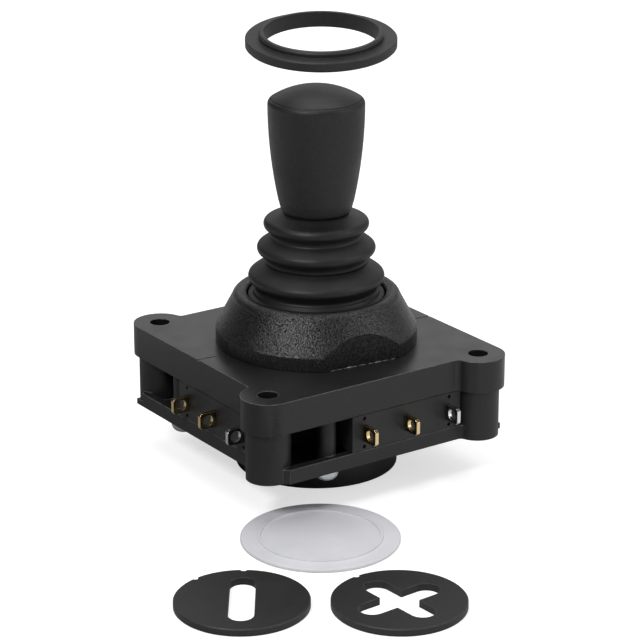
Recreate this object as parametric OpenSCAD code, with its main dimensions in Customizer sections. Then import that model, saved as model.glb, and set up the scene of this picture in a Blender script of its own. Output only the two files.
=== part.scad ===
// Four-way panel joystick with four snap-action switches, a rubber boot, two spare
// restrictor gates, a dust cover and a spare boot ring.  Millimetres, +Z up.
// The origin is the centre of the four mounting holes, on the face of the mounting plate.

/* [Mounting plate] */
// Distance between mounting holes, along X and along Y
mount_pitch = 50; // [46:0.5:60]
// Diameter of the mounting holes
mount_hole_d = 4.3; // [3:0.1:5.5]
// Radius of the corner lugs on the mounting plate
lug_r = 5.7; // [5:0.1:7]
// Radius of the corner columns below the mounting plate
column_r = 4.65; // [4:0.05:5]
// Angle by which the side walls are turned from the square of the holes
wall_angle = 5.7; // [0:0.1:7]
// Height of the upper housing
upper_h = 6.9; // [6.5:0.1:9]
// Thickness of the top plate of the upper housing
plate_t = 2; // [1.6:0.1:2.6]
// Thickness of the side walls
wall_t = 1.8; // [1.2:0.1:2.4]
// Radius of the fillet between a wall and the lug that it runs into
valley_r = 1.2; // [0.5:0.1:2]
// Width of the alignment grooves in the top face
groove_w = 0.45; // [0.3:0.05:0.8]
// Depth of the alignment grooves
groove_depth = 0.35; // [0.2:0.05:0.6]
// Length of the alignment grooves, from the edge of the plate inwards
groove_len = 5; // [2:0.5:7]

/* [Lower housing] */
// Height of the lower housing
lower_h = 11.1; // [10.5:0.1:14]
// Thickness of its floor
floor_t = 1.6; // [1.2:0.1:2.2]
// Height of the rail round the floor, below the side windows
rail_h = 3.1; // [2.9:0.1:3.6]
// Distance of each rail's left end from the centre of its column
rail_start = 1.6; // [1:0.1:3]
// Length of the slope by which that end runs into the column
rail_lead = 1.2; // [0.6:0.1:1.5]
// Thickness of the foot plate that shows past two of the columns
foot_t = 1.25; // [0.8:0.05:1.5]
// How far that foot plate runs past the centre of the column
foot_overrun = 0.9; // [0:0.1:1.4]
// Gap between a screw boss and the left end of the switch case beside it
boss_gap = 2.2; // [1:0.1:2.6]
// Distance of each screw boss inwards from its wall
boss_inset = 3.4; // [2.8:0.1:4]
// Radius of the screw bosses
boss_r = 2; // [1.7:0.1:2.4]

/* [Screws] */
// Diameter of the screw shanks
screw_d = 2.2; // [1.8:0.1:2.6]
// Diameter of the screw heads
head_d = 5.2; // [4:0.1:5.6]
// Height of the screw heads
head_h = 2.6; // [1.5:0.1:3]
// Radius of the rounded edge of the screw heads
head_round = 1.9; // [0.5:0.1:2.2]
// Length of the screw shanks
screw_len = 14.5; // [12:0.5:15.5]
// Width of the cross slots in the heads
cross_w = 0.8; // [0.5:0.05:1]

/* [Switches] */
// Length of a switch case along its wall
case_len = 27.8; // [26:0.1:27.9]
// Depth of a switch case, from its terminal face inwards
case_depth = 17; // [15.5:0.1:17.2]
// Depth of the terminal base, which the case cover closes
base_depth = 4; // [3:0.1:6]
// Gap between the right end of a switch case and the column beside it
case_end_gap = 0.35; // [0.2:0.05:0.5]
// Smallest gap between a switch case and its neighbour round the corner
case_gap = 0.6; // [0.3:0.05:1]
// Height of the plungers and terminals below the upper housing
plunger_drop = 4.2; // [3.8:0.1:4.6]
// Diameter of the plungers
plunger_d = 2.6; // [2:0.1:3.2]
// Length of the plungers
plunger_len = 6.3; // [5:0.1:7]
// Distance between neighbouring terminals
terminal_pitch = 10.55; // [9:0.05:11]
// Height of a terminal blade
blade_h = 3.5; // [3:0.1:4.8]
// Thickness of a terminal blade
blade_t = 0.8; // [0.5:0.05:1]
// How far a terminal blade stands out of its switch
blade_out = 3.9; // [3:0.1:6]
// How far a terminal blade reaches into its switch
blade_in = 2.6; // [1.5:0.1:2.8]
// Diameter of the eye in a terminal blade
eye_d = 2.4; // [1.2:0.1:2.6]
// Diameter of the moulding pips in the terminal face
pip_d = 0.8; // [0.5:0.05:1]
// Diameter of the pegs that locate a switch
peg_d = 2.4; // [1.8:0.1:3]
// Length of those pegs above the floor
peg_len = 5; // [3:0.1:6]

/* [Dome] */
// Radius of the dome at its foot
dome_r = 21.5; // [20.5:0.1:22.5]
// Height of the straight band at the foot
band_h = 3; // [2:0.1:4]
// Height of the dome
dome_h = 11.2; // [10.5:0.1:13]
// Radius of the opening in the dome
dome_open_r = 14.8; // [14.7:0.1:15.2]
// Radius of the rounded shoulder
shoulder_r = 2; // [1.2:0.1:2.4]
// Distance of the two flats from the axis
flat_offset = 19.5; // [18.8:0.1:20.4]
// Thickness of the dome wall
dome_t = 1.7; // [1.2:0.1:2]

/* [Boot] */
// Radius of the lowest and widest fold
fold_low_r = 14.45; // [14:0.05:14.6]
// Radius of the middle fold
fold_mid_r = 12.55; // [11.5:0.05:13.5]
// Radius of the top fold
fold_top_r = 11.15; // [10:0.05:12]
// Height of the lowest fold above the plate
fold_low_z = 14.2; // [13.8:0.1:14.8]
// Height from the lowest fold to the middle one
fold_step_low = 6.2; // [5.6:0.1:6.6]
// Height from the middle fold to the top one
fold_step_top = 5.3; // [4.8:0.1:5.6]
// Radius of the rounded edge of a fold
fold_edge_r = 1.25; // [0.9:0.05:1.4]
// Radius of the waist under the top fold
waist_top_r = 9.7; // [9:0.1:10]
// Radius of the waist under the middle fold
waist_low_r = 10.8; // [10.2:0.1:11.2]
// Thickness of the rubber
rubber_t = 1; // [0.7:0.05:1.2]

/* [Grip] */
// Height of the underside of the grip above the plate
grip_z = 28.3; // [28:0.1:30]
// Largest radius of the grip
grip_r = 10.16; // [9:0.02:11]
// Height of the grip from its underside to its widest ring
grip_side_h = 23.2; // [20:0.1:26]
// Radius of the long curve of the grip's side
grip_bow_r = 98; // [90:1:140]
// Radius of the rim at the top of the grip
rim_r = 1.3; // [0.8:0.1:2]
// Height of the crown above the rim
crown_h = 2.75; // [2.4:0.05:4]
// Depth of the seat of the grip nut below the widest ring
nut_depth = 7; // [5:0.5:9]
// Width of the seam between grip and cap
seam_w = 0.1; // [0.1:0.05:0.3]

/* [Lever] */
// Depth of the tilt axes below the face of the plate
pivot_depth = 4.6; // [4.4:0.1:4.8]
// Largest tilt each way, which the ears and the gates allow
tilt_max = 17; // [12:1:17]
// Diameter of the lever shaft
shaft_d = 5; // [4:0.1:5.4]
// Diameter of the pivot pins
pin_d = 2; // [1.6:0.1:2.4]
// Radial clearance of a running fit
run_gap = 0.05; // [0.02:0.01:0.1]
// Radial clearance of a seated fit
seat_gap = 0.03; // [0.01:0.01:0.06]
// Inner radius of the gimbal ring
gimbal_in_r = 5.4; // [5.2:0.1:5.6]
// Outer radius of the gimbal ring
gimbal_out_r = 7.8; // [7.4:0.1:8.2]
// Height of the gimbal ring
gimbal_h = 4; // [3.4:0.1:4.2]
// Radius from the axis to the ears that carry the gimbal
ear_in_r = 9.9; // [9.6:0.1:10.2]
// Thickness of those ears
ear_t = 2.6; // [2:0.1:3]
// Width of those ears
ear_w = 5.4; // [4.4:0.1:6.4]
// Radius of the ball-shaped actuator
ball_r = 8.4; // [8:0.05:8.5]
// Height of the actuator above its widest ring
ball_rise = 1.65; // [1:0.05:1.7]
// Depth of the actuator below its widest ring
ball_drop = 2.9; // [2.7:0.1:3.4]
// Gap between the actuator and a plunger at rest
touch_gap = 0.3; // [0.15:0.05:0.4]
// Outer radius of the sleeve on the pivot pin
sleeve_r = 4.4; // [3.8:0.1:4.5]
// Radius of the sleeve on the lower tip of the lever
tip_r = 2.4; // [2.3:0.05:2.45]
// Length of that sleeve
tip_len = 5.4; // [3:0.1:7]
// Thickness of the retaining clips
clip_t = 0.6; // [0.4:0.05:0.8]

/* [Return spring] */
// Mean radius of the spring
spring_r = 6.3; // [6.2:0.1:6.6]
// Diameter of the spring wire
wire_d = 0.9; // [0.6:0.05:1.1]
// Number of turns
spring_turns = 5; // [4:1:7]
// Length of the spring at rest
spring_len = 10; // [8:0.5:11]
// Thickness of the plate below the spring and the washer above it
seat_t = 1; // [0.8:0.1:1.4]

/* [Gate housing] */
// Outer radius of the gate housing
barrel_r = 17.45; // [17.3:0.05:18.5]
// Height of the gate housing below the lower housing
barrel_h = 9.6; // [9:0.1:11]
// Radius of its bore
barrel_bore_r = 12; // [11.9:0.05:12.2]
// Thickness of its flange
flange_t = 1.5; // [1:0.1:1.6]
// Width of its flange outside the barrel
flange_w = 1.4; // [1:0.1:2]

/* [Gates and cover] */
// Radius of the gate plates
gate_r = 13.15; // [12.8:0.05:13.6]
// Thickness of the gate plates
gate_t = 1.5; // [1.2:0.1:1.8]
// Reach of the gate slots from the centre
gate_reach = 9.4; // [9.2:0.1:10.2]
// Clearance between the lever tip and the sides of a slot
gate_play = 0.1; // [0.05:0.05:0.4]
// Width of the arms of the cross gate
cross_arm_w = 5.3; // [5:0.1:5.6]
// Radius of the locating notches in the rims of the gates
notch_r = 0.7; // [0.5:0.05:1]
// Radius of the dust cover
cover_r = 16.2; // [15.9:0.05:16.3]
// Thickness of the dust cover
cover_t = 0.8; // [0.6:0.05:1]
// Radius of the raised ring on the dust cover
cover_ring_r = 12.4; // [11:0.1:13]
// Radial play of the gates and of the cover in their seats
seat_play = 0.15; // [0.1:0.05:0.3]

/* [Boot ring] */
// Radius of the flange of the boot ring
ring_flange_r = 15.65; // [14:0.05:17]
// Thickness of that flange
ring_flange_t = 2.1; // [1:0.1:2.4]
// Outer radius of its collar
ring_collar_r = 12.9; // [12.5:0.05:13.5]
// Radius of its bore
ring_bore_r = 11.9; // [11:0.05:12.3]
// Height of the boot ring
ring_h = 3.3; // [2.6:0.1:4]
// Height of the lifted boot ring above the crown of the grip
ring_lift = 8.2; // [3:0.1:20]
// Lean of the lifted boot ring towards the front of the layout
ring_lean = 6.5; // [0:0.5:12]
// Sideways shift of the lifted boot ring
ring_shift = 1; // [-3:0.1:3]

/* [Layout of the loose pieces] */
// Direction in which the loose pieces are laid out, from -Y towards -X
layout_angle = 29; // [0:1:45]
// Distance of the dust cover in front of the axis
cover_dist = 43.2; // [38:0.1:60]
// Distance of the two gates in front of the axis
gate_dist = 73.9; // [64:0.1:90]
// Distance of each gate from the middle of the row
gate_side = 15; // [14:0.1:25]
// Sideways shift of the row of loose pieces
layout_shift = 0.85; // [-3:0.05:3]

/* [Hidden] */

black = [0.1, 0.1, 0.105];
black_soft = [0.13, 0.13, 0.135];
rubber_black = [0.07, 0.07, 0.075];
steel = [0.72, 0.73, 0.75];
brass = [0.85, 0.66, 0.28];
tin = [0.8, 0.81, 0.82];
nylon = [0.86, 0.85, 0.8];
clear_grey = [0.82, 0.81, 0.88];

FRONT = 0;
RIGHT = 1;
BACK = 2;
LEFT = 3;

eps = 0.01;
face_gap = 0.1;
half_pitch = mount_pitch / 2;
mount_hole_r = mount_hole_d / 2;
lug_far = half_pitch * (cos(wall_angle) + sin(wall_angle));
lug_near = half_pitch * (cos(wall_angle) - sin(wall_angle));
case_x1 = lug_near - column_r - case_end_gap;
case_x0 = case_x1 - case_len;
case_mid = (case_x0 + case_x1) / 2;
wall_offset = max(lug_near + lug_r, case_depth + case_gap - case_x0);
boss_side = boss_gap + boss_r - case_x0;
boss_offset = wall_offset - boss_inset;
seam_z = -upper_h;
floor_z = seam_z - lower_h;
floor_top = floor_z + floor_t;
rail_top = floor_z + rail_h;
base_bottom = floor_z - barrel_h;

case_offset = wall_offset - case_depth;
case_h = lower_h - rail_h - 2 * face_gap;
case_top = seam_z - face_gap;
plunger_z = seam_z - plunger_drop;
tip_offset = ball_r + touch_gap;
peg_offset = wall_offset - base_depth - peg_d;
peg_sides = [case_x0 + 2.2 * peg_d, case_x1 - 1.8 * peg_d];
blade_sides = [for (i = [-1:1]) case_mid + i * terminal_pitch];

shaft_r = shaft_d / 2;
pin_r = pin_d / 2;
pivot_z = -pivot_depth;
tilt_both = acos(cos(tilt_max) * cos(tilt_max));
gate_seat_top = base_bottom + cover_t + 0.1 + gate_t + 0.1;
cover_seat_top = base_bottom + cover_t + 0.1;
tip_bottom = cover_seat_top + 0.3;
ball_top = plunger_z + ball_rise;
ball_bottom = plunger_z - ball_drop;
sleeve_h = gimbal_h + 1.2;
spring_bottom = seat_t;
washer_z = spring_bottom + spring_len;
grip_rim_z = grip_z + grip_side_h;
rim_arc = 58;
rim_in_r = grip_r - rim_r + rim_r * cos(rim_arc);
rim_top_z = grip_rim_z + rim_r * sin(rim_arc);
crown_z = rim_top_z + crown_h;
crown_r = (rim_in_r * rim_in_r + crown_h * crown_h) / (2 * crown_h);
grip_wall = 2.2;
cap_depth = 1.6;
nut_h = 3.2;
nut_floor = grip_rim_z - nut_depth;
shaft_top = nut_floor + nut_h + 0.8;

function arc(cx, cy, r, from, to, n = 8) =
    [for (i = [0:n]) let (a = from + (to - from) * i / n) [cx + r * cos(a), cy + r * sin(a)]];
function flip(points) = [for (i = [len(points) - 1:-1:0]) points[i]];

// ---------- helpers ----------

module side(i) {
    rotate(90 * i + wall_angle) children();
}

module each_side() {
    for (i = [0:3]) side(i) children();
}

module each_corner() {
    for (i = [0:3]) rotate(90 * i) translate([half_pitch, half_pitch]) children();
}

module each_boss() {
    each_side() translate([-boss_side, -boss_offset]) children();
}

module each_peg() {
    for (x = peg_sides) translate([x, -peg_offset]) children();
}

module block(x0, x1, y0, y1, z0, z1) {
    translate([x0, y0, z0]) cube([x1 - x0, y1 - y0, z1 - z0]);
}

module rod(r, z0, z1, fn = 64) {
    translate([0, 0, z0]) cylinder(r = r, h = z1 - z0, $fn = fn);
}

module tube(r_out, r_in, z0, z1, fn = 96) {
    difference() {
        rod(r_out, z0, z1, fn);
        rod(r_in, z0 - 1, z1 + 1, fn);
    }
}

module prism(z0, z1) {
    translate([0, 0, z0]) linear_extrude(z1 - z0) children();
}

// One side of the body, from the centre out to its wall, seen with the wall towards -Y.
module wing(start = 0, lead = 0) {
    end_x = -lug_far + start;
    slope = lead > 0 ? [[end_x - lead, face_gap - lug_near - column_r]] : [];
    polygon(concat([[0, 0], [-lug_far, -lug_near], [end_x - lead, -lug_near]], slope,
        [[end_x, -wall_offset], [lug_near, -wall_offset], [lug_near, -lug_far]]));
}

// The fillet where a wall runs into the lug at its right end.
module valley(r) {
    reach = r + valley_r;
    rise = min(reach, valley_r + wall_offset - lug_far);
    fx = lug_near - sqrt(reach * reach - rise * rise);
    fy = -wall_offset - valley_r;
    difference() {
        polygon([[fx, -wall_offset + 0.5], [fx, fy], [lug_near, -lug_far]]);
        translate([fx, fy]) circle(valley_r, $fn = 40);
    }
}

module body_outline(r, start = 0, lead = 0) {
    each_side() wing(start, lead);
    each_side() valley(r);
    each_corner() circle(r, $fn = 72);
}

module inner_square(inset) {
    rotate(wall_angle) square(2 * (wall_offset - inset), center = true);
}

// ---------- housings ----------

module top_cavity() {
    difference() {
        inner_square(wall_t);
        each_corner() circle(lug_r, $fn = 72);
        each_boss() circle(boss_r + 0.5, $fn = 40);
        difference() {
            circle(ear_in_r + ear_t + wall_t, $fn = 96);
            circle(ear_in_r + ear_t, $fn = 96);
        }
        each_side() translate([-wall_t / 2, -wall_offset]) square([wall_t, wall_offset - ear_in_r - ear_t]);
        rotate(wall_angle) ear_pair();
    }
}

module ear_pair() {
    for (s = [-1, 1]) translate([s * (ear_in_r + ear_t / 2 + 0.25), 0])
        square([ear_t + 0.5, ear_w], center = true);
}

module top_housing() {
    color(black)
    difference() {
        prism(seam_z, 0) body_outline(lug_r);
        prism(seam_z - 1, -plate_t) top_cavity();
        rod(gimbal_out_r + 1, seam_z, 1, 96);
        each_corner() rod(mount_hole_r, seam_z - 1, 1, 48);
        each_boss() rod(screw_d / 2 + seat_gap, seam_z - 1, floor_z + screw_len + 0.3, 24);
        rotate(wall_angle) translate([0, 0, pivot_z]) rotate([0, 90, 0])
            cylinder(r = pin_r + run_gap, h = 2 * (ear_in_r + ear_t) + 1, center = true, $fn = 32);
        for (s = [-1, 1]) translate([s * (wall_offset + 1 - groove_len / 2 - 0.5), 0, 0])
            cube([groove_len, groove_w, 2 * groove_depth], center = true);
    }
}

module lower_housing() {
    color(black)
    difference() {
        union() {
            difference() {
                union() {
                    prism(floor_z, rail_top) body_outline(column_r, rail_start, rail_lead);
                    for (i = [LEFT, RIGHT]) prism(floor_z, floor_z + foot_t) side(i) wing(-foot_overrun);
                }
                prism(floor_top, rail_top + 1) inner_square(wall_t);
            }
            each_corner() rod(column_r, floor_z, seam_z, 72);
            each_boss() rod(boss_r, floor_z + 0.5, seam_z, 40);
            each_side() each_peg() rod(peg_d / 2, floor_z + 0.5, floor_top + peg_len, 32);
        }
        rod(barrel_r + seat_gap, floor_z - 1, rail_top, 120);
        each_corner() rod(mount_hole_r, floor_z - 1, seam_z + 1, 48);
        each_boss() rod(screw_d / 2 + seat_gap, floor_z - 1, seam_z + 1, 24);
    }
}

module gate_housing() {
    flange_top = rail_top - face_gap;
    color(black)
    difference() {
        union() {
            rod(barrel_r + flange_w, floor_top, flange_top, 120);
            rod(barrel_r, base_bottom, flange_top, 120);
        }
        rod(barrel_bore_r, base_bottom - 1, 0, 96);
        rod(gate_r + seat_play, base_bottom - 1, gate_seat_top, 96);
        rod(cover_r + seat_play, base_bottom - 1, cover_seat_top, 120);
    }
    color(black) rotate(wall_angle) translate([0, gate_r + seat_play, 0])
        rod(notch_r - seat_play, cover_seat_top, gate_seat_top + 0.2, 24);
}

module dome_profile() {
    neck_z = dome_h - shoulder_r;
    neck_r = dome_open_r + 1.2;
    polygon(concat([[dome_open_r, 0], [dome_r, 0], [dome_r, band_h]],
        arc(neck_r, neck_z, shoulder_r, 15, 85, 10),
        [[dome_open_r + 0.3, dome_h - 0.35], [dome_open_r, dome_h - 0.7]]));
}

module dome() {
    inner_top = dome_h - dome_t - 0.6;
    color(black_soft)
    difference() {
        intersection() {
            rotate_extrude($fn = 144) dome_profile();
            block(-dome_r - 1, dome_r + 1, -flat_offset, flat_offset, -1, dome_h + 1);
        }
        rotate_extrude($fn = 96) polygon([[0, -1], [flat_offset - dome_t, -1], [flat_offset - dome_t, band_h],
            [dome_open_r + 0.9, inner_top], [0, inner_top]]);
    }
}

// ---------- boot ----------

// One fold: out to its rounded edge and back in again, as points of the outer surface.
function fold(r, z, edge, waist_above, z_above) = concat(
    arc(r - edge, z, edge, -65, 65, 8), [[waist_above, z_above]]);

module boot_profile() {
    mid_z = fold_low_z + fold_step_low;
    top_z = mid_z + fold_step_top;
    foot_r = dome_open_r - 0.9;
    neck_r = shaft_r + 0.3;
    step_z = fold_low_z - fold_edge_r - 1.3;
    t = rubber_t;
    waist_low_z = fold_low_z + fold_step_low * 0.52;
    waist_top_z = mid_z + fold_step_top * 0.52;
    boot_top = grip_z - 0.3;
    polygon(concat(
        [[flat_offset - dome_t - 0.3, 0.1], [flat_offset - dome_t - 0.3, 0.1 + t], [foot_r - 0.3, 0.1 + t],
            [foot_r - 0.3, step_z - 1.9], [foot_r + 0.3, step_z - 1.7], [foot_r + 0.3, step_z - 0.7],
            [foot_r - 0.5, step_z - 0.5], [foot_r - 0.5, step_z]],
        fold(fold_low_r, fold_low_z, fold_edge_r, waist_low_r, waist_low_z),
        fold(fold_mid_r, mid_z, fold_edge_r, waist_top_r, waist_top_z),
        arc(fold_top_r - fold_edge_r, top_z, fold_edge_r, -65, 75, 9),
        [[neck_r + 4.2, boot_top], [neck_r, boot_top], [neck_r, boot_top - t - 0.6],
            [neck_r + 3.4, boot_top - t - 0.2]],
        [[fold_top_r - fold_edge_r, top_z + fold_edge_r - t], [fold_top_r - t - 0.2, top_z],
            [waist_top_r - t - 0.1, waist_top_z], [fold_mid_r - t - 0.2, mid_z],
            [waist_low_r - t - 0.1, waist_low_z], [fold_low_r - t - 0.3, fold_low_z],
            [foot_r - 0.5 - t, step_z - 0.2], [foot_r - 0.3 - t, step_z - 1.9], [foot_r - 0.3 - t, 0.1]]));
}

module boot() {
    color(rubber_black) rotate_extrude($fn = 96) boot_profile();
}

// ---------- switches, drawn on the front side and turned to the others ----------

module blade(extra = 0) {
    tip_y = -wall_offset - blade_out;
    corner = 0.5;
    difference() {
        translate([-blade_t / 2 - extra, 0, 0]) rotate([90, 0, 90]) linear_extrude(blade_t + 2 * extra)
            polygon([[tip_y, plunger_z - blade_h / 2 + corner], [tip_y + corner, plunger_z - blade_h / 2 - extra],
                [-wall_offset + blade_in + extra, plunger_z - blade_h / 2 - extra],
                [-wall_offset + blade_in + extra, plunger_z + blade_h / 2 + extra],
                [tip_y + corner, plunger_z + blade_h / 2 + extra], [tip_y, plunger_z + blade_h / 2 - corner]]);
        translate([0, -wall_offset - blade_out / 2, plunger_z]) rotate([0, 90, 0])
            cylinder(r = eye_d / 2, h = blade_t + 1, center = true, $fn = 32);
    }
}

module switch_block(n0, n1) {
    block(case_x0, case_x1, -n1, -n0, case_top - case_h, case_top);
}

module peg_holes() {
    each_peg() rod(peg_d / 2 + seat_gap, case_top - case_h - 1, floor_top + peg_len + 0.3, 32);
}

module switch_base(i) {
    pip_x = case_len / 2 - 3;
    pip_z = case_h / 2 - pip_d;
    color(black_soft) side(i) difference() {
        switch_block(wall_offset - base_depth + face_gap / 2, wall_offset);
        for (x = blade_sides) translate([x, 0, 0]) blade(seat_gap);
        for (sx = [-1, 1], sz = [-1, 1])
            translate([case_mid + sx * pip_x, -wall_offset, case_top - case_h / 2 + sz * pip_z])
                rotate([90, 0, 0]) cylinder(r = pip_d / 2, h = 1.4, center = true, $fn = 24);
    }
}

module switch_cover(i) {
    bore_end = case_offset + plunger_len + 1.2;
    color(black) side(i) difference() {
        switch_block(case_offset, wall_offset - base_depth);
        peg_holes();
        translate([0, -case_offset + 1, plunger_z]) rotate([90, 0, 0])
            cylinder(r = plunger_d / 2 + run_gap, h = bore_end - case_offset + 1, $fn = 40);
    }
}

module plunger(i) {
    chamfer = 0.35;
    color(nylon) side(i) translate([0, -tip_offset, plunger_z]) rotate([90, 0, 0]) rotate_extrude($fn = 40)
        polygon([[0, 0], [plunger_d / 2 - chamfer, 0], [plunger_d / 2, chamfer], [plunger_d / 2, plunger_len],
            [0, plunger_len]]);
}

module brass_terminals() {
    color(brass) each_side() for (k = [0, 1]) translate([blade_sides[k], 0, 0]) blade();
}

module tinned_terminals() {
    color(tin) each_side() translate([blade_sides[2], 0, 0]) blade();
}

module housing_screws() {
    color(steel) each_boss() translate([0, 0, floor_z]) difference() {
        rotate_extrude($fn = 48) polygon(concat([[0, -head_h]],
            arc(head_d / 2 - head_round, -head_h + head_round, head_round, -90, 0, 5),
            [[head_d / 2, 0], [screw_d / 2, 0], [screw_d / 2, screw_len - 1], [0.3, screw_len], [0, screw_len]]));
        for (a = [0, 90]) rotate(a) translate([0, 0, -head_h]) cube([head_d * 0.55, cross_w, 1.6], center = true);
    }
}

// ---------- gimbal and lever ----------

module cross_bore(r, angle) {
    rotate(wall_angle + angle) translate([0, 0, pivot_z]) rotate([0, 90, 0])
        cylinder(r = r, h = 4 * gimbal_out_r, center = true, $fn = 32);
}

module gimbal_ring() {
    color(steel) difference() {
        tube(gimbal_out_r, gimbal_in_r, pivot_z - gimbal_h / 2, pivot_z + gimbal_h / 2);
        cross_bore(pin_r + seat_gap, 0);
        cross_bore(pin_r + run_gap, 90);
    }
}

module gimbal_pins() {
    pin_start = gimbal_in_r + 0.3;
    pin_end = ear_in_r + ear_t - 0.2;
    color(steel) rotate(wall_angle) for (s = [0, 180]) rotate(s) translate([pin_start, 0, pivot_z]) rotate([0, 90, 0])
        cylinder(r = pin_r, h = pin_end - pin_start, $fn = 32);
}

module cross_pin() {
    color(steel) rotate(wall_angle) translate([0, 0, pivot_z]) rotate([90, 0, 0])
        cylinder(r = pin_r, h = 2 * gimbal_out_r - 0.4, center = true, $fn = 32);
}

module shaft_groove(z) {
    tube(shaft_r + 1, shaft_r - 0.4, z - 0.05, z + clip_t + 0.05, 48);
}

module lever_shaft() {
    color(steel) difference() {
        rotate_extrude($fn = 48) polygon([[0, tip_bottom + 0.2], [shaft_r - 0.9, tip_bottom + 0.2],
            [shaft_r - 0.6, tip_bottom + 0.5], [shaft_r - 0.6, tip_bottom + tip_len], [shaft_r, tip_bottom + tip_len],
            [shaft_r, shaft_top - 0.5], [shaft_r - 0.5, shaft_top], [0, shaft_top]]);
        cross_bore(pin_r + seat_gap, 90);
        shaft_groove(ball_bottom - 0.1 - clip_t);
        shaft_groove(washer_z + seat_t + 0.05);
    }
}

module pivot_sleeve() {
    color(black_soft) difference() {
        tube(sleeve_r, shaft_r + seat_gap, pivot_z - sleeve_h / 2, pivot_z + sleeve_h / 2, 64);
        cross_bore(pin_r + seat_gap, 90);
    }
}

module actuator_ball() {
    boss_top = pivot_z - sleeve_h / 2 - 0.05;
    boss_out_r = shaft_r + 1.6;
    color(nylon) difference() {
        union() {
            rotate_extrude($fn = 96) intersection() {
                translate([0, plunger_z]) circle(ball_r, $fn = 120);
                translate([0, ball_bottom]) square([ball_r + 1, ball_top - ball_bottom]);
            }
            rod(boss_out_r, ball_top - 0.5, boss_top, 48);
        }
        rod(shaft_r + seat_gap, ball_bottom - 1, 0, 48);
        difference() {
            rod(ball_r - 1.8, ball_bottom - 1, ball_bottom + 0.9, 64);
            rod(boss_out_r, ball_bottom - 2, 0, 48);
        }
    }
}

module clip(z) {
    color(steel) difference() {
        tube(shaft_r + 1.4, shaft_r - 0.4 + seat_gap, z, z + clip_t, 48);
        translate([0, shaft_r, z]) cube([2.2, 2 * shaft_r, 3 * clip_t], center = true);
    }
}

module ball_clip() {
    clip(ball_bottom - 0.1 - clip_t);
}

module washer_clip() {
    clip(washer_z + seat_t + 0.05);
}

module spring_washer() {
    color(steel) tube(spring_r + wire_d / 2 + 0.9, shaft_r + seat_gap, washer_z, washer_z + seat_t, 72);
}

module spring_plate() {
    plate_r = dome_open_r - 0.9 - 0.3 - rubber_t - 0.3;
    hole_r = shaft_r / cos(tilt_both) + (pivot_depth + seat_t) * tan(tilt_both) + 0.25;
    color(steel) tube(plate_r, hole_r, 0, seat_t, 96);
}

// A helix with closed ends, swept along computed rings.
module return_spring() {
    sides = 8;
    per_turn = 20;
    end_turns = 1;
    wire_r = wire_d / 2;
    turns = spring_turns + 2 * end_turns;
    rings = turns * per_turn;
    free_len = spring_len - 0.1 - wire_d - 2 * end_turns * wire_d * 1.08;
    function height(u) = u < end_turns ? u * wire_d * 1.08
        : u > turns - end_turns ? end_turns * wire_d * 1.08 + free_len + (u - turns + end_turns) * wire_d * 1.08
        : end_turns * wire_d * 1.08 + (u - end_turns) / spring_turns * free_len;
    points = [for (k = [0:rings], j = [0:sides - 1])
        let (u = k / per_turn, a = 360 * u, b = 360 * j / sides, r = spring_r + wire_r * cos(b))
        [r * cos(a), r * sin(a), spring_bottom + 0.05 + wire_r + height(u) + wire_r * sin(b)]];
    walls = [for (k = [0:rings - 1], j = [0:sides - 1])
        let (p = k * sides + j, q = k * sides + (j + 1) % sides) [p, q, q + sides, p + sides]];
    ends = [[for (j = [0:sides - 1]) sides - 1 - j], [for (j = [0:sides - 1]) rings * sides + j]];
    color(steel) polyhedron(points, concat(walls, ends), convexity = 10);
}

module tip_sleeve() {
    wall_in = shaft_r - 0.6 + seat_gap;
    color(nylon) rotate_extrude($fn = 48) polygon([[wall_in, tip_bottom + 0.1], [tip_r - 0.3, tip_bottom],
        [tip_r, tip_bottom + 0.3], [tip_r, tip_bottom + tip_len - 0.1], [wall_in, tip_bottom + tip_len - 0.1]]);
}

// ---------- grip ----------

function grip_side(z) = grip_r - (grip_rim_z - z) * (grip_rim_z - z) / (2 * grip_bow_r);

module grip() {
    foot_r = grip_side(grip_z);
    bore_r = shaft_r + seat_gap;
    cavity_r = rim_in_r - grip_wall + 0.3;
    color(black_soft) rotate_extrude($fn = 120) polygon(concat(
        [[bore_r, grip_z], [foot_r - 0.5, grip_z], [foot_r, grip_z + 0.5]],
        [for (k = [1:10]) let (z = grip_z + 0.5 + (grip_side_h - 0.5) * k / 10) [grip_side(z), z]],
        arc(grip_r - rim_r, grip_rim_z, rim_r, 8, rim_arc, 6),
        [[rim_in_r, rim_top_z - cap_depth], [cavity_r, rim_top_z - cap_depth], [cavity_r, nut_floor], [bore_r, nut_floor]]));
}

module grip_nut() {
    nut_across = 8;
    color(steel) difference() {
        translate([0, 0, nut_floor]) intersection() {
            cylinder(r = nut_across / 2 / cos(30), h = nut_h, $fn = 6);
            rotate_extrude($fn = 48) polygon([[0, 0], [nut_across / 2 + 0.3, 0], [nut_across / 2 + 0.7, 0.4],
                [nut_across / 2 + 0.7, nut_h - 0.4], [nut_across / 2 + 0.3, nut_h], [0, nut_h]]);
        }
        rod(shaft_r + seat_gap, nut_floor - 1, nut_floor + nut_h + 1, 48);
    }
}

module grip_cap() {
    cap_r = rim_in_r - seam_w;
    start = asin(cap_r / crown_r);
    color(black_soft) rotate_extrude($fn = 120) polygon(concat(
        [[0, rim_top_z - cap_depth + 0.05], [cap_r, rim_top_z - cap_depth + 0.05]],
        arc(0, crown_z - crown_r, crown_r, 90 - start, 90, 12)));
}

// ---------- pieces shown taken off ----------

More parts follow.
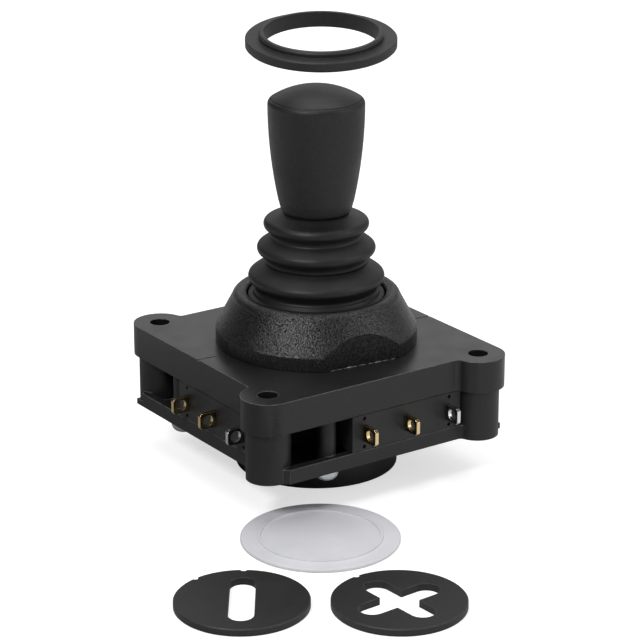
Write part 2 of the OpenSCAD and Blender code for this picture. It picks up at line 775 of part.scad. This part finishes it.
module boot_ring() {
    z0 = crown_z + ring_lift;
    edge = 0.4;
    color(black) rotate(-layout_angle) translate([ring_shift, 0, z0]) rotate([ring_lean, 0, 0])
        rotate_extrude($fn = 120) polygon([[ring_bore_r, 0], [ring_flange_r - edge, 0],
        [ring_flange_r, edge], [ring_flange_r, ring_flange_t - edge / 2], [ring_flange_r - edge / 2, ring_flange_t],
        [ring_collar_r, ring_flange_t], [ring_collar_r, ring_h - edge], [ring_collar_r - edge, ring_h],
        [ring_bore_r, ring_h]]);
}

// Puts a loose piece on the level that the joystick stands on.
module laid(dist, shift) {
    rotate(-layout_angle) translate([layout_shift + shift, -dist, base_bottom]) children();
}

module dust_cover() {
    bead = 0.3;
    color(clear_grey, 0.7) laid(cover_dist, 0) rotate_extrude($fn = 120) polygon([[0, 0], [cover_r - 0.2, 0],
        [cover_r, 0.2], [cover_r, cover_t - 0.2], [cover_r - 0.2, cover_t], [cover_ring_r + bead, cover_t],
        [cover_ring_r + bead, cover_t + bead], [cover_ring_r - bead, cover_t + bead], [cover_ring_r - bead, cover_t], [0, cover_t]]);
}

module gate_blank(notches) {
    difference() {
        rotate_extrude($fn = 120) polygon([[0, 0], [gate_r - 0.15, 0], [gate_r, 0.15], [gate_r, gate_t - 0.15],
            [gate_r - 0.15, gate_t], [0, gate_t]]);
        for (a = notches) rotate(a) translate([0, gate_r, -1]) cylinder(r = notch_r, h = gate_t + 2, $fn = 24);
    }
}

module slot_shape(w) {
    reach = gate_reach - w / 2;
    square([w, 2 * reach], center = true);
    for (s = [-1, 1]) translate([0, s * reach]) circle(w / 2, $fn = 48);
}

module slot_gate() {
    color(black) laid(gate_dist, -gate_side) difference() {
        gate_blank([0, 45]);
        translate([0, 0, -1]) linear_extrude(gate_t + 2) slot_shape(2 * (tip_r + gate_play));
    }
}

module cross_gate() {
    arm_turn = 38;
    color(black) laid(gate_dist, gate_side) difference() {
        gate_blank([arm_turn]);
        translate([0, 0, -1]) linear_extrude(gate_t + 2)
            for (a = [0, 90]) rotate(arm_turn + a) slot_shape(cross_arm_w);
    }
}

top_housing();
lower_housing();
gate_housing();
dome();
boot();
spring_plate();
housing_screws();
switch_base(FRONT);  // front_switch_base
switch_base(RIGHT);  // right_switch_base
switch_base(BACK);  // back_switch_base
switch_base(LEFT);  // left_switch_base
switch_cover(FRONT);  // front_switch_cover
switch_cover(RIGHT);  // right_switch_cover
switch_cover(BACK);  // back_switch_cover
switch_cover(LEFT);  // left_switch_cover
plunger(FRONT);  // front_plunger
plunger(RIGHT);  // right_plunger
plunger(BACK);  // back_plunger
plunger(LEFT);  // left_plunger
brass_terminals();
tinned_terminals();
gimbal_ring();
gimbal_pins();
lever_shaft();
cross_pin();
pivot_sleeve();
actuator_ball();
ball_clip();
spring_washer();
washer_clip();
return_spring();
tip_sleeve();
grip();
grip_nut();
grip_cap();
boot_ring();
dust_cover();
slot_gate();
cross_gate();
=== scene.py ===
import math
import random

import bpy
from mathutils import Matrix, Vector


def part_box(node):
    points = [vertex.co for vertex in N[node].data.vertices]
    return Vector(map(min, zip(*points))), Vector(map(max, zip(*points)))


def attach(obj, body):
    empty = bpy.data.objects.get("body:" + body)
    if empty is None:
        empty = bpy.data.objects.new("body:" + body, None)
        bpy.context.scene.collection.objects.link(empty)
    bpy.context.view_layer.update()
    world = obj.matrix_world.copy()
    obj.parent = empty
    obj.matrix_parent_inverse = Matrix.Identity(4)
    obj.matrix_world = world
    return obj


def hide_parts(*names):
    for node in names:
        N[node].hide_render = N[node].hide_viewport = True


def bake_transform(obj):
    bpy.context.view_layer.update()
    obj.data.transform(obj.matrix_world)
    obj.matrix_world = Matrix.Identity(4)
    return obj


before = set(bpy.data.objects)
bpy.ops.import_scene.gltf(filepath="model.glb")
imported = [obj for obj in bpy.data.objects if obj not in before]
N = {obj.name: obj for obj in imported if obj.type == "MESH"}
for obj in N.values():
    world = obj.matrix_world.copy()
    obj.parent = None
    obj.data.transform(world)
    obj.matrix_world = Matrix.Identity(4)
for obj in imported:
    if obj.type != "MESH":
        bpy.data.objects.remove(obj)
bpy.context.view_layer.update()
MM = 0.001
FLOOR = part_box("gate_housing")[0][2]
SIDES = ("front", "right", "back", "left")


def in_scene(name, data):
    """A new object that holds this data, linked to the scene."""
    o = bpy.data.objects.new(name, data)
    bpy.context.scene.collection.objects.link(o)
    return o


def aim(o, place, direction):
    """Put a camera or a lamp at a place and point it along a direction."""
    o.location = place
    o.rotation_mode = "QUATERNION"
    o.rotation_quaternion = direction.to_track_quat("-Z", "Y")


# ---------- camera, fitted to the photograph ----------
TOWARDS_CAMERA = Vector((-0.4556, -0.8221, 0.3416)).normalized()
CAMERA_DISTANCE = 0.552
CAMERA_SENSOR, CAMERA_LENS = 36, 145.3
CAMERA_SHIFT = (0.0058, 0.0270)
CAMERA_CLIP = (0.01, 20)

cam = in_scene("camera", bpy.data.cameras.new("camera"))
aim(cam, TOWARDS_CAMERA * CAMERA_DISTANCE, -TOWARDS_CAMERA)
cam.data.sensor_width = CAMERA_SENSOR
cam.data.lens = CAMERA_LENS
cam.data.shift_x, cam.data.shift_y = CAMERA_SHIFT
cam.data.clip_start, cam.data.clip_end = CAMERA_CLIP
bpy.context.scene.camera = cam
bpy.context.scene.view_settings.view_transform = "Standard"


# ---------- materials ----------
MIX_A, MIX_B, MIX_RESULT = 6, 7, 2    # the colour sockets of a Mix node
NOISE_LOW, NOISE_HIGH = 0.3, 0.7      # the range that most of a noise texture's values fill


class Nodes:
    """Short ways to add and link the nodes of one tree."""

    def __init__(self, tree):
        self.tree = tree

    def add(self, kind, **props):
        node = self.tree.nodes.new("ShaderNode" + kind)
        for key, value in props.items():
            setattr(node, key, value)
        return node

    def link(self, a, b):
        self.tree.links.new(a, b)

    def feed(self, socket, value):
        """Set an input to a number or a vector, or link another node's output to it."""
        if isinstance(value, (int, float, tuple)):
            socket.default_value = value
        else:
            self.link(value, socket)

    def span(self, value, from_min, from_max, to_min, to_max):
        """Map a value from one range to another, clamped; each end is a number or an output."""
        node = self.add("MapRange")
        self.link(value, node.inputs["Value"])
        ends = {"From Min": from_min, "From Max": from_max, "To Min": to_min, "To Max": to_max}
        for key, end in ends.items():
            self.feed(node.inputs[key], end)
        return node.outputs[0]

    def math(self, operation, a, b=None):
        node = self.add("Math", operation=operation)
        self.feed(node.inputs[0], a)
        if b is not None:
            self.feed(node.inputs[1], b)
        return node.outputs[0]

    def dot(self, a, b):
        node = self.add("VectorMath", operation="DOT_PRODUCT")
        self.feed(node.inputs[0], a)
        self.feed(node.inputs[1], b)
        return node.outputs["Value"]


class Mat(Nodes):
    """A node material with a bevelled-edge normal, a fine grain and a little unevenness."""

    def __init__(self, name, base, rough, edge, metallic=0.0, specular=0.5):
        self.material = bpy.data.materials.new(name)
        self.material.use_nodes = True
        super().__init__(self.material.node_tree)
        self.shader = self.tree.nodes["Principled BSDF"]
        self.shader.inputs["Metallic"].default_value = metallic
        self.shader.inputs["Specular IOR Level"].default_value = specular
        self.coord = self.add("TexCoord").outputs["Object"]
        bevel = self.add("Bevel", samples=4)
        bevel.inputs["Radius"].default_value = edge * MM
        self.bevelled = bevel.outputs[0]
        self.normal = self.bevelled
        self.base = base
        self.rough = rough
        self.colour = None
        self.roughness = None

    def geometry(self, output):
        return self.add("NewGeometry").outputs[output]

    def axes(self, vector):
        """The x, y and z outputs of a vector."""
        node = self.add("SeparateXYZ")
        self.link(vector, node.inputs[0])
        return node.outputs

    def noise(self, scale, detail, rough=0.5):
        node = self.add("TexNoise")
        self.link(self.coord, node.inputs["Vector"])
        node.inputs["Scale"].default_value = scale
        node.inputs["Detail"].default_value = detail
        node.inputs["Roughness"].default_value = rough
        return node.outputs[0]

    def patches(self, scale, detail, low, high):
        """Noise that runs from one value to another."""
        return self.span(self.noise(scale, detail), NOISE_LOW, NOISE_HIGH, low, high)

    def bump(self, height, depth):
        """Raise the surface by a height texture, depth in mm."""
        node = self.add("Bump")
        self.link(height, node.inputs["Height"])
        self.link(self.normal, node.inputs["Normal"])
        node.inputs["Distance"].default_value = depth * MM
        node.inputs["Strength"].default_value = 1.0
        self.normal = node.outputs[0]

    def tint(self, mask, other):
        """Mix another colour into the colour so far."""
        node = self.add("Mix", data_type="RGBA")
        self.link(mask, node.inputs[0])
        if self.colour is None:
            node.inputs[MIX_A].default_value = (*self.base, 1)
        else:
            self.link(self.colour, node.inputs[MIX_A])
        node.inputs[MIX_B].default_value = (*other, 1)
        self.colour = node.outputs[MIX_RESULT]

    def lighter(self, times):
        return [c * times for c in self.base]

    def edge_mask(self, low, high):
        """1 along the edges of a solid, where the bevelled normal leaves the true one, and 0 on its faces."""
        return self.span(self.dot(self.geometry("Normal"), self.bevelled), high, low, 0, 1)

    def done(self):
        """Fill in the usual unevenness where nothing else was set, and link it all up."""
        if self.colour is None:
            self.tint(self.patches(90, 3, 0, 0.5), self.lighter(1.25))
        if self.roughness is None:
            self.roughness = self.patches(160, 4, self.rough - 0.04, self.rough + 0.05)
        self.link(self.colour, self.shader.inputs["Base Color"])
        self.link(self.roughness, self.shader.inputs["Roughness"])
        self.link(self.normal, self.shader.inputs["Normal"])
        return self.material


def plastic(name, base, rough, grain, depth, edge=0.3, specular=0.5, worn_and_lit_edge=0.0):
    """Moulded plastic with a grain of a scale and a depth in mm. Its last argument is a light tone for its
    edges that do not face down, partly worn edges and partly a painted edge highlight.
    """
    s = Mat(name, (base, base, base * 1.04), rough, edge, specular=specular)
    s.bump(s.noise(grain, 3, 0.6), depth)
    s.bump(s.noise(60, 2), 0.02)
    if worn_and_lit_edge:
        # Edges that do not face down get a lighter tone in patches: partly worn, partly a painted edge
        # highlight.
        upper = s.span(s.axes(s.bevelled)[2], -0.3, -0.05, 0, 1)    # 0 on edges that face down
        patchy = s.math("MULTIPLY", upper, s.span(s.noise(700, 3), 0.3, 0.65, 0.35, 1))
        s.tint(s.patches(1500, 3, 0, 0.6), s.lighter(1.6))
        s.tint(s.math("MULTIPLY", s.edge_mask(0.8, 0.995), patchy), (worn_and_lit_edge, worn_and_lit_edge, worn_and_lit_edge))
    return s


def metal(name, base, rough, edge=0.12, painted_face_reflection=None):
    """Plain metal. Given a dark tone, its faces are painted that tone in patches as a painted dark
    reflection, while its edges and its outer ends keep the bright metal colour.
    """
    s = Mat(name, base, rough, edge, metallic=1.0)
    s.bump(s.noise(900, 2), 0.006)
    if painted_face_reflection:
        outward = s.dot(s.geometry("True Normal"), s.coord)
        bright = s.math("MAXIMUM", s.edge_mask(0.9, 0.999), s.span(outward, 0.016, 0.02, 0, 1))
        faces = s.math("SUBTRACT", 1.0, bright)
        # The faces get a painted dark reflection in patches; edges and outer ends stay bright.
        s.tint(s.math("MULTIPLY", faces, s.patches(500, 3, 0.75, 1)), painted_face_reflection)
    return s.done()


def spark():
    """The dome's spark-eroded texture: deep and glossy on the cone, shallow and matt on its flats. Light
    speckles in its colour are painted glints.
    """
    s = Mat("spark-textured plastic", (0.008, 0.008, 0.0084), 0.3, edge=0.4)
    normal = s.axes(s.geometry("True Normal"))
    side = s.math("MAXIMUM", s.math("ABSOLUTE", normal[0]), s.math("ABSOLUTE", normal[1]))
    flat = s.math("GREATER_THAN", side, 0.9995)
    grain = s.noise(5200, 1)
    s.bump(s.math("MULTIPLY", grain, s.span(flat, 0, 1, 1, 0.25)), 0.1)
    gloss = s.math("MULTIPLY", s.span(grain, 0.42, 0.64, 0.15, 1.1), s.span(flat, 0, 1, 1, 0.62))
    s.link(gloss, s.shader.inputs["Specular IOR Level"])
    # Light speckles painted into the colour as painted glints, fewer on the flats.
    painted_glints = s.math("MULTIPLY", s.span(grain, 0.56, 0.72, 0, 1), s.span(flat, 0, 1, 1, 0.15))
    s.tint(painted_glints, (0.026, 0.026, 0.027))
    s.roughness = s.span(flat, 0, 1, 0.25, 0.5)
    return s.done()


def rubber():
    s = Mat("boot rubber", (0.007, 0.007, 0.0078), 0.5, edge=0.1)
    s.bump(s.noise(2400, 3), 0.012)
    s.bump(s.noise(220, 2), 0.04)
    s.tint(s.span(s.noise(420, 4), 0.5, 0.72, 0, 0.4), (0.016, 0.016, 0.016))
    return s.done()


def film():
    s = Mat("dust cover plastic", (0.9, 0.9, 0.94), 0.42, edge=0.15)
    s.bump(s.noise(35, 1), 0.25)
    s.bump(s.noise(900, 2), 0.008)
    s.shader.inputs["Transmission Weight"].default_value = 0.25
    s.shader.inputs["Alpha"].default_value = 0.93
    return s.done()


def speckled_grip():
    s = plastic("grip plastic", base=0.012, rough=0.46, grain=3800, depth=0.07, edge=0.4, specular=0.45)
    s.tint(s.span(s.noise(4600, 1), 0.52, 0.7, 0, 0.6), (0.03, 0.03, 0.032))
    return s.done()


# The housings and loose pieces get lighter edges: partly worn, partly a painted edge highlight.
housing = plastic("housing plastic", base=0.01, rough=0.3, grain=2600, depth=0.01, worn_and_lit_edge=0.26).done()
lower = plastic("lower housing plastic", base=0.009, rough=0.45, grain=2600, depth=0.012, worn_and_lit_edge=0.24).done()
loose = plastic("loose piece plastic", base=0.012, rough=0.48, grain=2200, depth=0.014,
                edge=0.2, worn_and_lit_edge=0.16).done()
case = plastic("switch plastic", base=0.009, rough=0.38, grain=1800, depth=0.01, edge=0.2).done()
case_base = plastic("switch base plastic", base=0.012, rough=0.42, grain=2400, depth=0.012, edge=0.15).done()
grip = speckled_grip()
nylon = plastic("nylon", base=0.62, rough=0.45, grain=900, depth=0.01).done()
dome = spark()
boot_rubber = rubber()
# Brass and tin terminals carry a painted dark reflection on their faces.
brass = metal("brass", (0.97, 0.75, 0.4), rough=0.3, edge=0.14, painted_face_reflection=(0.13, 0.09, 0.04))
tin = metal("tin plate", (0.9, 0.9, 0.89), rough=0.3, edge=0.14, painted_face_reflection=(0.13, 0.13, 0.135))
zinc = metal("zinc plate", (0.62, 0.65, 0.68), rough=0.24, edge=0.2)
steel = metal("steel", (0.55, 0.56, 0.57), rough=0.32)
cover_film = film()

DRESS = [
    (housing, ["top_housing"]), (lower, ["lower_housing", "gate_housing"]), (dome, ["dome"]),
    (loose, ["boot_ring", "slot_gate", "cross_gate"]), (cover_film, ["dust_cover"]),
    (grip, ["grip", "grip_cap"]), (boot_rubber, ["boot"]),
    (case, [s + "_switch_cover" for s in SIDES] + ["pivot_sleeve"]),
    (case_base, [s + "_switch_base" for s in SIDES]),
    (nylon, [s + "_plunger" for s in SIDES] + ["actuator_ball", "tip_sleeve"]),
    (brass, ["brass_terminals"]), (tin, ["tinned_terminals"]), (zinc, ["housing_screws"]),
    (steel, ["spring_plate", "gimbal_ring", "gimbal_pins", "lever_shaft", "cross_pin", "ball_clip",
             "washer_clip", "spring_washer", "return_spring", "grip_nut"]),
]
for material, names in DRESS:
    for name in names:
        N[name].data.materials.clear()
        N[name].data.materials.append(material)


# ---------- meshes: turned shells, and round beads along a path ----------
def mesh_object(name, verts, faces, smooth_sides=False):
    """A mesh object; with smooth_sides its four-sided faces are shaded smooth."""
    mesh = bpy.data.meshes.new(name)
    mesh.from_pydata(verts, [], faces)
    mesh.validate()
    for f in mesh.polygons:
        f.use_smooth = smooth_sides and len(f.vertices) == 4
    return in_scene(name, mesh)


def lathe(name, profile, turns=128):
    """Turn a closed profile of (radius, height) in mm about the z axis."""
    verts = []
    faces = []
    k = len(profile)
    for i in range(turns):
        a = 2 * math.pi * i / turns
        verts += [(r * math.cos(a) * MM, r * math.sin(a) * MM, z * MM) for r, z in profile]
    for i in range(turns):
        p, q = i * k, (i + 1) % turns * k
        faces += [(p + j, q + j, q + (j + 1) % k, p + (j + 1) % k) for j in range(k)]
    return mesh_object(name, verts, faces, smooth_sides=True)


def arc(r, z, radius, a0, a1, n):
    """Points of an arc round (r, z), from one angle to another in degrees."""
    angles = [math.radians(a0 + (a1 - a0) * i / n) for i in range(n + 1)]
    return [(r + radius * math.cos(a), z + radius * math.sin(a)) for a in angles]


def shell(outer, t):
    """The outer line, and the same line a wall thickness inwards, as one closed profile."""
    inner = []
    for i, (r, z) in enumerate(outer):
        (r0, z0), (r1, z1) = outer[max(i - 1, 0)], outer[min(i + 1, len(outer) - 1)]
        d = math.hypot(r1 - r0, z1 - z0)
        inner.append((r - t * (z1 - z0) / d, z + t * (r1 - r0) / d))
    return outer + inner[::-1]


def bead(name, path, sizes, sides=6, smooth_sides=False):
    """A round bead along a path of points, with its own radius at each point."""
    verts = []
    faces = []
    for i, (p, r) in enumerate(zip(path, sizes)):
        before, after = Vector(path[max(i - 1, 0)]), Vector(path[min(i + 1, len(path) - 1)])
        along = (after - before).normalized()
        across = Vector((0, 0, 1)).cross(along).normalized()
        for k in range(sides):
            a = 2 * math.pi * k / sides
            verts.append(Vector(p) + r * math.cos(a) * across + Vector((0, 0, r * math.sin(a))))
    for i in range(len(path) - 1):
        for k in range(sides):
            n = (k + 1) % sides
            faces.append((i * sides + k, i * sides + n, (i + 1) * sides + n, (i + 1) * sides + k))
    faces.append(list(range(sides))[::-1])
    faces.append([len(verts) - sides + k for k in range(sides)])
    return mesh_object(name, verts, faces, smooth_sides)


# ---------- soft boot: two halves that meet at SPLIT ----------------------------------------
# Lines are (radius, height) in mm, from the hidden skirt inside the dome up to the grip's foot.
WALL = 0.5
EDGE = 1.25                                         # radius of a fold's outer edge
FOLD_1, FOLD_2, FOLD_3 = (14.45, 14.2), (12.55, 20.4), (11.15, 25.7)
SPLIT, SPLIT_R = 17.4, 10.85
GRIP_GAP = 0.03
GRIP_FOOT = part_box("grip")[0][2] / MM - GRIP_GAP


def fold(at, a0, a1):
    """The outer edge of the fold that reaches out to this radius at this height."""
    return arc(at[0] - EDGE, at[1], EDGE, a0, a1, 14)


skirt = [(17.0, 0.2), (17.0, 1.2), (13.6, 1.3), (13.6, 4.2), (14.4, 4.9), (14.4, 9.2)]
collar = [(14.5, 9.4), (14.5, 10.2), (14.42, 10.36), (13.6, 10.42), (13.45, 10.55), (13.45, 11.05),
          (13.3, 11.2), (12.95, 11.25), (12.9, 11.9)]
neck = [(8.6, 27.3), (7.6, 27.8), (7.1, 28.1), (6.7, GRIP_FOOT), (3.2, GRIP_FOOT)]
low_line = (skirt + collar + fold(FOLD_1, -70, 55)
            + [(13.3, 15.66), (12.1, 16.52), (11.1, 17.23), (SPLIT_R, SPLIT)])
top_line = ([(SPLIT_R, SPLIT), (10.8, 17.8), (11.0, 18.6)] + fold(FOLD_2, -62, 55)
            + [(11.57, 21.75), (10.66, 22.4), (9.93, 22.92), (9.75, 23.05), (9.7, 23.3), (9.9, 24.0)]
            + fold(FOLD_3, -60, 80) + neck)
boot_lower = lathe("boot_lower_folds", shell(low_line, WALL))
boot_upper = lathe("boot_upper_folds", shell(top_line, WALL))
for o in (boot_lower, boot_upper):
    o.data.materials.append(boot_rubber)
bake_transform(boot_lower)
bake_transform(boot_upper)
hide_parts("boot")
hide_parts("boot")


# ---------- return spring, in two halves -----------------------------------
spring_low, spring_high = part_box("return_spring")
z0, z1 = spring_low[2], spring_high[2]
WIRE = 0.45 * MM                    # radius of the wire
COIL = (spring_high[0] - spring_low[0]) / 2 - WIRE    # radius of the coil, to the middle of the wire
CLOSED = 0.97 * MM                  # rise of the closed turn at each end
TURNS = 7
BREAK = 2.6                         # the turn at which the two halves meet
COIL_STEPS, WIRE_SIDES = 40, 12


def coil_point(u):
    """A point of the coil after u turns; the first and the last turn lie closed."""
    open_z = z1 - z0 - 2 * WIRE - 2 * CLOSED
    open_turns = TURNS - 2
    first = min(u, 1) * CLOSED
    middle = min(max(u - 1, 0), open_turns) / open_turns * open_z
    last = max(u - TURNS + 1, 0) * CLOSED
    return (COIL * math.cos(math.tau * u), COIL * math.sin(math.tau * u), z0 + WIRE + (first + middle + last))


mid = coil_point(BREAK)[2]
for name, u0, u1, a, b, start, end in (("return_spring_lower", 0, BREAK, "base", "gimbal", z0, mid),
                                       ("return_spring_upper", BREAK, TURNS, "gimbal", "lever", mid, z1)):
    n = round((u1 - u0) * COIL_STEPS)
    path = [coil_point(u0 + (u1 - u0) * i / n) for i in range(n + 1)]
    wire = bead(name, path, [WIRE] * len(path), WIRE_SIDES, smooth_sides=True)
    wire.data.materials.append(steel)
    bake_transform(wire)
    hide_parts("return_spring")


# ---------- moulding flash along the foot of the dome's front flat, its light grey a painted highlight ---
FLASH_FROM, FLASH_LENGTH, FLASH_STEPS = -7.4, 15.4, 60
FLASH_OUT, FLASH_UP = 0.02, 0.07
FLASH_THIN, FLASH_THICK, FLASH_WAVE, FLASH_SCATTER = 0.02, 0.05, 0.03, 0.035
TUFTS = ((0.1, 17, 2.5), (0.07, 43, 2))             # extra thickness, step and width of each tuft

rng = random.Random(7)
flat_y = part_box("dome")[0][1]
foot_line = []
thick = []
for i in range(FLASH_STEPS + 1):
    x = (FLASH_FROM + FLASH_LENGTH * i / FLASH_STEPS) * MM
    foot_line.append((x, flat_y + FLASH_OUT * MM, FLASH_UP * MM))
    tuft = sum(extra * math.exp(-((i - step) / width) ** 2) for extra, step, width in TUFTS)
    ragged = FLASH_THICK + FLASH_WAVE * math.sin(i * 0.9) + rng.uniform(-FLASH_SCATTER, FLASH_SCATTER)
    thick.append(max(FLASH_THIN, ragged + tuft) * MM)
flash_and_highlight = bead("dome_flash_and_highlight_line", foot_line, thick)
# The bead's light grey tone is a painted highlight along the foot of the dome's front flat.
flash_and_highlight.data.materials.append(plastic("flash_and_highlight", base=0.26, rough=0.6, grain=1500, depth=0.02, edge=0.05).done())
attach(flash_and_highlight, "base")


# ---------- studio ----------
def area(name, place, size, power, size_y=None):
    """A soft box that faces the origin, square unless it has its own height."""
    light = bpy.data.lights.new(name, "AREA")
    light.energy = power
    light.size = size
    if size_y:
        light.shape = "RECTANGLE"
        light.size_y = size_y
    o = in_scene(name, light)
    aim(o, place, -Vector(place))


area("top_softbox", (0.05, 0.15, 0.9), size=0.9, power=3.8, size_y=0.7)
area("back_softbox", (0.62, 1.12, 0.52), size=1.5, power=1.6, size_y=0.6)
area("left_softbox", (-0.9, -0.1, 0.6), size=0.5, power=0.1, size_y=0.6)
area("right_softbox", (0.75, -0.7, 0.5), size=0.5, power=2.2, size_y=0.8)
area("front_softbox", (-0.66, -0.36, 0.72), size=0.22, power=4.7)


def pale_floor():
    """White to the camera. For the light it sends back to the object it has a darker band close to
    the left of it, so that the left faces get less bounce."""
    leftwards = (-0.71, 0.71, 0)
    to_camera, glow_to_camera = 0.7, 0.62
    pale = bpy.data.materials.new("floor")
    pale.use_nodes = True
    s = Nodes(pale.node_tree)
    shader = s.tree.nodes["Principled BSDF"]
    shader.inputs["Roughness"].default_value = 0.9
    shader.inputs["Specular IOR Level"].default_value = 0.1
    seen = s.add("LightPath").outputs["Is Camera Ray"]
    across = s.dot(s.add("NewGeometry").outputs["Position"], leftwards)
    bounce = s.math("MAXIMUM", s.span(across, -0.02, 0.03, 0.7, 0.26), s.span(across, 0.09, 0.14, 0.26, 0.65))
    s.link(s.span(seen, 0, 1, bounce, to_camera), shader.inputs["Base Color"])
    glow = s.add("Emission")
    s.link(s.math("MULTIPLY", seen, glow_to_camera), glow.inputs["Strength"])
    both = s.add("AddShader")
    s.link(shader.outputs[0], both.inputs[0])
    s.link(glow.outputs[0], both.inputs[1])
    s.link(both.outputs[0], s.tree.nodes["Material Output"].inputs[0])
    return pale


def white_world():
    """White to the camera; as a light it is dim, and brighter towards the upper right."""
    brighter_way = (0.82, -0.4, 0.4)
    world = bpy.data.worlds.new("studio")
    world.use_nodes = True
    s = Nodes(world.node_tree)
    sky = s.tree.nodes["Background"]
    sky.inputs["Color"].default_value = (1, 1, 1, 1)
    way = s.add("TexCoord").outputs["Generated"]
    dim = s.span(s.dot(way, brighter_way), -0.6, 0.8, 0.06, 0.36)
    seen = s.add("LightPath").outputs["Is Camera Ray"]
    s.link(s.span(seen, 0, 1, dim, 1.0), sky.inputs["Strength"])
    return world


bpy.ops.mesh.primitive_plane_add(size=6, location=(0, 0, FLOOR))
floor = bpy.context.object
floor.name = "floor"
floor.data.materials.append(pale_floor())
bpy.context.scene.world = white_world()
